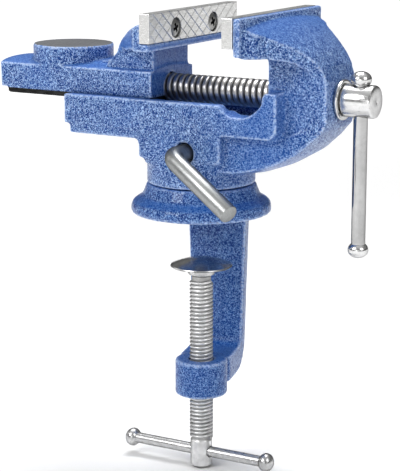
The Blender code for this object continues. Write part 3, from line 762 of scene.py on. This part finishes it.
def in_recess(face):
    """Faces inside the cross, a little below the crown's surface, which are painted near black as shade.
    """
    centre = face.center
    reach = min(Vector((centre.x, centre.y)).length / (CROWN_R * MM), 1)
    surface = (CROWN_BASE - 0.15 + CROWN_RISE * (1 - reach ** 2) ** 0.5) * MM
    return -1.6 * MM < centre.z < surface and reach < 0.85


pattern = jaw_screw()
for jaw, body, sign in (("moving", "moving_jaw", 1), ("fixed", "vise_body", -1)):
    for end, side in (("near", -1), ("far", 1)):
        node = f"jaw_screw_{jaw}_{end}"
        screw = pattern.copy()
        screw.data = pattern.data.copy()
        bpy.context.scene.collection.objects.link(screw)
        screw.name = f"cross_screw_{jaw}_{end}"
        low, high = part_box(node)
        head_x = high.x if sign > 0 else low.x
        finished(screw, FASTENER, body, "dark_fastener", node)
        # The cross recess is painted near black, a painted shadow.
        finish_where(screw, GREASE_AND_SHADE_IRON, in_recess)
        settled(screw, (0, sign * pi / 2, 0), (head_x, side * SCREW_Y * MM, PLATE_SCREW_Z * MM))
bpy.data.objects.remove(pattern)
print("four cross-recessed screws")

# %% [markdown]
# ## Threads
# A thread is one tooth profile carried round an axis while it climbs by one pitch a turn, which is
# what the Screw modifier does. The profile is a small plane stood on edge, with its outer side
# narrowed to a crest and its corners eased. The two ends are capped, and the core is a turned piece
# that the ribbon sinks into.

# %% A helical ribbon on a core
TOOTH_SHARE = 0.94
TOOTH_EASE = 0.3
TOOTH_SUNK = 0.5


def thread_ribbon(name, root, crest, pitch, low, high, crest_share, steps):
    """A closed helical ribbon along +Z with a trapezoid tooth; sizes are in millimetres."""
    deselect()
    turns = int((high - low) / pitch) - 1
    bpy.ops.mesh.primitive_plane_add(size=1)
    ribbon = started(name)
    depth = crest - root + TOOTH_SUNK
    ribbon.scale = (depth * MM, pitch * TOOTH_SHARE * MM, 1)
    settled(ribbon, (pi / 2, 0, 0), ((crest - depth / 2) * MM, 0, low * MM + pitch * MM / 2))
    outer = max(vertex.co.x for vertex in ribbon.data.vertices)
    points_picked(ribbon, lambda point: abs(point.x - outer) < 1e-6)
    bpy.ops.transform.resize(value=(1, 1, crest_share))
    bpy.ops.mesh.bevel(offset=TOOTH_EASE * MM, segments=3, affect="VERTICES")
    bpy.ops.mesh.select_all(action="SELECT")
    bpy.ops.mesh.delete(type="ONLY_FACE")
    bpy.ops.object.mode_set(mode="OBJECT")
    applied(ribbon, "SCREW", axis="Z", angle=2 * pi, screw_offset=pitch * MM, iterations=turns,
            steps=steps, render_steps=steps, use_merge_vertices=False, use_smooth_shade=True)
    bpy.ops.object.mode_set(mode="EDIT")
    bpy.ops.mesh.select_all(action="SELECT")
    bpy.ops.mesh.fill_holes(sides=0)
    bpy.ops.object.mode_set(mode="OBJECT")
    return outward(ribbon)


def joined(first, *others):
    """Joins pieces into the first one."""
    deselect()
    for piece in (first, *others):
        piece.select_set(True)
    bpy.context.view_layer.objects.active = first
    bpy.ops.object.join()
    return first


print("thread helper ready")

# %% [markdown]
# ## The main screw
# The main screw has a coarse oiled thread, a plain journal in the body's bore and a fat head with a
# cross hole for the handle. It is one piece of steel, but its head is bright and its thread is dark,
# so the head is made as its own piece on the same body.

# %% Main screw and head
HEAD_LOW, HEAD_HIGH, HEAD_R = 69.6, 83.5, 6.95
JOURNAL_R = 6.0
RING_GROOVE_R = 5.2

core = turned("main_thread", [(4.2, -50.6), (4.9, -50.0), (4.9, 35.6), (JOURNAL_R, 36.4),
                              (JOURNAL_R, 38.3), (RING_GROOVE_R, 38.3), (RING_GROOVE_R, 40.0),
                              (JOURNAL_R, 40.0), (JOURNAL_R, HEAD_LOW + 0.4)], 96)
tooth = thread_ribbon("main_tooth", 4.95, 6.15, 3.0, -50, 37.5, 0.62, 64)
main_thread = settled(joined(core, tooth), ALONG_X, (0, 0, SCREW_Z))
finished(main_thread, OILED, "main_screw", "thread_steel", "main_screw")

head = turned("screw_head", [(HEAD_R - 0.5, HEAD_LOW), (HEAD_R, HEAD_LOW + 0.5),
                             (HEAD_R, HEAD_HIGH - 0.9), (HEAD_R - 0.3, HEAD_HIGH - 0.25),
                             (HEAD_R - 0.9, HEAD_HIGH), (0.6, HEAD_HIGH), (0.3, HEAD_HIGH - 0.12)], 96)
settled(head, ALONG_X, (0, 0, SCREW_Z))
cross_hole = turned("cross_hole", [(3.3, -12), (3.3, 12)], 48)
carved(head, settled(cross_hole, UPRIGHT, (HANDLE_X, 0, SCREW_Z)))
finished(eased(head, 0.12, angle=40), CHROME, "main_screw", "bright_plating")
print("main screw:", len(main_thread.data.polygons), "faces")

# %% [markdown]
# ## The collar
# Between the head and the nose sits a bright collar. It is a square section carried round an axis:
# the Spin operator does that from a small plane standing beside the axis, and a bevel rounds it.

# %% A ring and the collar made from it
def ring(name, inner, outer, low, high, ease):
    """A closed ring along +Z; sizes are in millimetres."""
    deselect()
    bpy.ops.mesh.primitive_plane_add(size=1)
    piece = started(name)
    piece.scale = ((outer - inner) * MM, (high - low) * MM, 1)
    settled(piece, (pi / 2, 0, 0), ((inner + outer) / 2 * MM, 0, (low + high) / 2 * MM))
    bpy.ops.object.mode_set(mode="EDIT")
    bpy.ops.mesh.select_all(action="SELECT")
    bpy.ops.mesh.delete(type="ONLY_FACE")
    bpy.ops.mesh.select_all(action="SELECT")
    bpy.ops.mesh.spin(steps=96, angle=2 * pi, center=(0, 0, 0), axis=(0, 0, 1))
    bpy.ops.object.mode_set(mode="OBJECT")
    return eased(outward(piece), ease)


collar = settled(ring("head_collar", 6.4, 8.55, 67.8, 69.3, 0.45), ALONG_X, (0, 0, SCREW_Z))
finished(collar, CHROME, "main_screw", "bright_plating", "screw_collar")
print("collar made")

# %% [markdown]
# ## Handle
# The handle is a polished bar that slides through the head, with a pressed-on ball at each end. Each
# ball is turned from points on a flattened circle with a flat where it meets the bar. The handle's
# balls are a little rounder than the plain ends of the model.

# %% Handle bar and its balls
BAR_EASE = 0.3
BALL_HALF = 3.5
BALL_STEPS = 14


def bar(name, radius, low, high):
    """A plain bar along +Z with eased ends."""
    end = radius - BAR_EASE
    return turned(name, [(end, low), (radius, low + BAR_EASE), (radius, high - BAR_EASE), (end, high)])


def ball(name, radius, seat):
    """A flattened ball along +Z, cut flat where it meets the bar, with a tiny flat on top."""
    start = -0.5 * pi + seat
    angles = [start + (0.5 * pi - 0.12 - start) * i / BALL_STEPS for i in range(BALL_STEPS + 1)]
    return turned(name, [(radius * cos(a), BALL_HALF * sin(a)) for a in angles])


def knobbed_end(node, name, radius, turn, material, slot, seat=0.62, drop=0):
    """A ball in the place of a knob node, dropped a little along Z where it sits lower on its bar."""
    place = middle(node) - Vector((0, 0, drop * MM))
    knob = settled(ball(name, radius, seat), turn, place)
    finished(knob, material, node.split("_knob_")[0], slot, node)


low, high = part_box("handle_bar")
handle = settled(bar("polished_handle", 3.0, low.z / MM, high.z / MM), UPRIGHT, (HANDLE_X, 0, 0))
finished(handle, POLISHED, "handle", "bright_plating", "handle_bar")
for end, turn, seat, drop in (("top", UPRIGHT, 0.92, 0.8), ("bottom", (pi, 0, 0), 0.62, 0.2)):
    knobbed_end(f"handle_knob_{end}", f"handle_ball_{end}", 4.45, turn, CHROME, "bright_plating",
                seat, drop)
print("handle", round((high.z - low.z) / MM, 1), "mm long")

# %% [markdown]
# ## Clamp screw
# The clamp's screw has a finer, plated thread and a plain drilled end for its bar. It is made like
# the main screw, as a turned core with a ribbon of thread sunk into it, but it stands upright.

# %% Clamp screw
CLAMP_R, CLAMP_CORE = 5.35, 4.35
low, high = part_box("clamp_screw")
foot, tip = low.z / MM, high.z / MM
stem = turned("clamp_thread", [(CLAMP_R - 1.3, foot), (CLAMP_R - 0.4, foot + 0.9),
                               (CLAMP_R - 0.4, -106.6), (CLAMP_CORE, -105.8),
                               (CLAMP_CORE, tip - 3.0), (3.2, tip - 3.0), (3.2, tip)])
clamp_hole = turned("clamp_hole", [(2.75, -12), (2.75, 12)], 48)
carved(stem, settled(clamp_hole, ALONG_X, (0, 0, BAR_Z)))
clamp_tooth = thread_ribbon("clamp_tooth", CLAMP_CORE, CLAMP_R, 1.75, -106.2, -29.6, 0.4, 48)
clamp_thread = joined(stem, clamp_tooth)
finished(clamp_thread, PLATED_THREAD, "clamp_screw", "zinc_plating", "clamp_screw")
print("clamp screw:", len(clamp_thread.data.polygons), "faces")

# %% [markdown]
# ## The domed pad
# The pad that presses on the bench is a shallow dome with a neck that turns on the screw's tip. It is
# turned from a profile and its socket is bored with a round cutter. A lathe leaves fine circles, so
# its plating gets rings round the axis as a bump, which look right from every side. The dome is a
# little lower than the model's.

# %% Domed pad
CIRCLE_SCALE = 700


def turned_plating():
    """Bright plating with fine circles left by the tool, centred on the clamp's axis."""
    finish, tree, shader, place = start_finish("turned_bright_plating", 1.0, 0.10)
    rings = tree.nodes.new("ShaderNodeTexWave")
    rings.wave_type = "RINGS"
    rings.rings_direction = "Z"
    rings.inputs["Scale"].default_value = CIRCLE_SCALE
    rings.inputs["Distortion"].default_value = 0.4
    tree.links.new(place, rings.inputs["Vector"])
    clouds = noise(tree, place, 160)
    shade = ramp(tree, clouds, [(0.35, 0.42), (0.65, 0.62)])
    tree.links.new(shade, shader.inputs["Base Color"])
    bumped(tree, shader, rings.outputs["Fac"], 0.05 * MM, 0.5)
    return finish


TURNED = turned_plating()
PAD_RIM, PAD_R, PAD_RISE = -24.7, 13.9, 2.9
DOME_STEPS = 16
shares = [1 - i / DOME_STEPS for i in range(DOME_STEPS)]
dome = [((PAD_R - 0.3) * share, PAD_RIM + 0.3 + PAD_RISE * (1 - share ** 2)) for share in shares]
neck = [(5.6, PAD_RIM - 4.2), (6.0, PAD_RIM - 3.7), (6.2, PAD_RIM - 1.9), (6.6, PAD_RIM - 1.6)]
underside = [(10.0, PAD_RIM - 1.2), (13.3, PAD_RIM - 0.6), (PAD_R, PAD_RIM - 0.2)]
pad = turned("domed_pad", [*neck, *underside, *dome], 96)
carved(pad, turned("pad_socket", [(3.5, PAD_RIM - 6), (3.5, PAD_RIM - 1.2)], 48))
finished(pad, TURNED, "clamp_pad", "bright_plating", "clamp_pad")
# The rim, the underside and the neck take the lighter zinc plating; along the rim it is a painted
# highlight.
finish_where(pad, ZINC, lambda face: face.center.z < (PAD_RIM + 0.32) * MM)
print("pad", round(2 * PAD_R, 1), "mm across")

# %% [markdown]
# ## The clamp's bar
# The bar that turns the clamp screw is like the handle but thinner: a plain rod with a ball at each
# end. It uses the same two helpers, so the two bars match as they would from one maker.

# %% Clamp bar and its balls
low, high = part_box("clamp_bar")
clamp_bar = bar("plated_clamp_bar", 2.45, low.x / MM, high.x / MM)
finished(settled(clamp_bar, ALONG_X, (0, 0, BAR_Z)), ZINC, "clamp_bar", "zinc_plating", "clamp_bar")
for end, turn in (("left", (0, -pi / 2, 0)), ("right", ALONG_X)):
    knobbed_end(f"clamp_bar_knob_{end}", f"clamp_ball_{end}", 4.2, turn, ZINC, "zinc_plating")
print("clamp bar", round((high.x - low.x) / MM, 1), "mm long")

# %% [markdown]
# ## Lock lever
# The lever that locks the swivel is one drawn rod, bent while cold. A disc is extruded along the
# shank, spun about the bend's centre, and extruded again along the arm, so the rod keeps its
# thickness through the bend. A small bevel breaks the edge of its sawn end.

# %% Bent lever
LEVER_R = 4.0
BEND = 6.5
LEVER_X, LEVER_Z = 4.4, 29.4
SHANK_Y, ELBOW_Y = -15.8, -33.5
LEVER_TIP = (39.6, -46.0, 10.5)


def bent_lever():
    """A rod that leaves the body along -Y, bends, and runs to the tip."""
    deselect()
    start = Vector((LEVER_X, SHANK_Y, LEVER_Z))
    elbow = Vector((LEVER_X, ELBOW_Y, LEVER_Z))
    tip = Vector(LEVER_TIP)
    first, second = (elbow - start).normalized(), (tip - elbow).normalized()
    turn = first.angle(second)
    cutback = BEND * (1 - cos(turn)) / sin(turn)
    side = (second - first * first.dot(second)).normalized()
    corner = elbow - first * cutback
    centre = corner + side * BEND
    bpy.ops.mesh.primitive_circle_add(vertices=48, radius=LEVER_R * MM, fill_type="NGON",
                                      rotation=(pi / 2, 0, 0), location=start * MM)
    lever = started("bent_lock_lever")
    bpy.ops.object.transform_apply(location=True, rotation=True)
    bpy.ops.object.mode_set(mode="EDIT")
    bpy.ops.mesh.select_all(action="SELECT")
    bpy.ops.mesh.extrude_region_move(TRANSFORM_OT_translate={"value": (corner - start) * MM})
    bpy.ops.mesh.spin(steps=16, angle=-turn, center=centre * MM, axis=first.cross(second))
    arm = tip - elbow - second * cutback
    bpy.ops.mesh.extrude_region_move(TRANSFORM_OT_translate={"value": arm * MM})
    bpy.ops.object.mode_set(mode="OBJECT")
    return eased(outward(lever), 0.45, angle=60)


lever = bent_lever()
finished(lever, ROD, "lock_lever", "brushed_rod", "lock_lever")
print("lever box", [round(v / MM, 1) for v in lever.dimensions])

# %% [markdown]
# ## Hidden fasteners
# Some pieces are seldom seen: the keeper plate under the slide, its screws, the retaining ring on the
# main screw, and the swivel's bolt and washer. Their model meshes are already right, so they stay as
# they are and only get a finish. The plate is machined, the rest are plain or plated steel.

# %% Finishes for the nodes that stay
KEPT = {"keeper_plate": MACHINED, "keeper_screw_1": FASTENER, "keeper_screw_2": FASTENER,
        "keeper_screw_3": FASTENER, "keeper_screw_4": FASTENER, "retaining_ring": ZINC,
        "pivot_bolt": FASTENER, "pivot_washer": ZINC}
for node, material in KEPT.items():
    kept = frame["nodes"][node]
    kept.data.materials.clear()
    kept.data.materials.append(material)
print("kept nodes:", len(KEPT))

# %% [markdown]
# ## Studio
# The vise stands over a plain pale floor, as in a catalogue. The floor takes a soft shadow near the
# vise and glows more with distance, so that it meets the pale room without a line.

# %% Floor
GLOW_START, GLOW_END, GLOW_MOST = 0.35, 1.5, 0.75


def plain_floor():
    """A wide pale floor under the lowest point of the vise."""
    deselect()
    bpy.ops.mesh.primitive_plane_add(size=24, location=(0, 0, cad_bounds[0][2] - 0.5 * MM))
    floor = started("pale_floor")
    finish, tree, shader, place = start_finish("pale_floor_paint", 0.0, 0.75)
    shader.inputs["Base Color"].default_value = (0.9, 0.9, 0.9, 1)
    shader.inputs["Emission Color"].default_value = (1, 1, 1, 1)
    away = tree.nodes.new("ShaderNodeVectorMath")
    away.operation = "LENGTH"
    tree.links.new(place, away.inputs[0])
    glow = tree.nodes.new("ShaderNodeMapRange")
    glow.interpolation_type = "SMOOTHSTEP"
    for socket, value in (("From Min", GLOW_START), ("From Max", GLOW_END), ("To Max", GLOW_MOST)):
        glow.inputs[socket].default_value = value
    tree.links.new(away.outputs["Value"], glow.inputs["Value"])
    tree.links.new(glow.outputs["Result"], shader.inputs["Emission Strength"])
    floor.data.materials.append(finish)
    print(floor.name, "at z =", round(cad_bounds[0][2] / MM - 0.5, 1), "mm")


plain_floor()

# %% [markdown]
# ## Lights
# Five large soft lights shape the vise. The key light, high in front and to the left, makes the long
# highlights on the steel. A weak one lower in front, with one on each side, fills the shade, and one
# above brightens the faces that point up. The room's own light, pale overhead and dim low down, gives
# the bright metal something to mirror.

# %% Soft lights and the pale room
def soft_light(name, place, aim_z, power, width, height):
    """A large rectangular light that points at a spot on the swivel's axis."""
    lamp = bpy.data.lights.new(name, "AREA")
    lamp.shape = "RECTANGLE"
    lamp.size = width
    lamp.size_y = height
    lamp.energy = power
    light = bpy.data.objects.new(name, lamp)
    light.location = place
    light.rotation_euler = (Vector((0, 0, aim_z)) - Vector(place)).to_track_quat("-Z", "Y").to_euler()
    bpy.context.scene.collection.objects.link(light)
    print(name, power, "W")


soft_light("key_light", (-0.42, -1.00, 0.72), 0.05, 7.4, 0.50, 0.50)
soft_light("front_light", (0.28, -1.15, 0.22), 0.04, 1.3, 0.40, 0.35)
soft_light("right_light", (0.95, -0.30, 0.60), 0.03, 3.2, 0.40, 0.50)
soft_light("left_light", (-1.10, -0.20, 0.45), 0.02, 1.2, 0.40, 0.60)
soft_light("top_light", (-0.15, 0.25, 0.85), 0.04, 7.5, 0.50, 0.40)

world = bpy.data.worlds.new("pale_room")
world.use_nodes = True
room = world.node_tree
height = room.nodes.new("ShaderNodeSeparateXYZ")
room.links.new(room.nodes.new("ShaderNodeTexCoord").outputs["Generated"], height.inputs[0])
walls = ramp(room, height.outputs["Z"], [(0.0, 0.10), (1.0, 0.95), (0.15, 0.14),
                                         (0.45, 0.36), (0.62, 0.24), (0.8, 0.60)])
room.links.new(walls, room.nodes["Background"].inputs["Color"])
room.nodes["Background"].inputs["Strength"].default_value = 0.7
bpy.context.scene.world = world
bpy.context.scene.view_settings.view_transform = "Standard"

# %% [markdown]
# ## Camera
# The camera looks down a little at the near side with a long lens, so the vise keeps its proportions
# and its upright edges stay nearly parallel.

# %% Camera
CAMERA_PLACE = (370.86, -642.82, 153.31)
LOOK_DOWN, LOOK_LEFT = 12.51, 30.03

camera_data = bpy.data.cameras.new("studio_camera")
camera_data.lens = 130.44
camera_data.sensor_width = 36
camera = bpy.data.objects.new("studio_camera", camera_data)
camera.location = Vector(CAMERA_PLACE) * MM
camera.rotation_euler = (radians(90 - LOOK_DOWN), 0, radians(LOOK_LEFT))
bpy.context.scene.collection.objects.link(camera)
bpy.context.scene.camera = camera
print("camera", round(camera.location.length, 3), "m from the origin")

# %% [markdown]
# ## Closing
# The box of the model is printed.

# %% The model's size
print("model box ", [round(float(b - a) / MM, 1) for a, b in zip(*cad_bounds)])
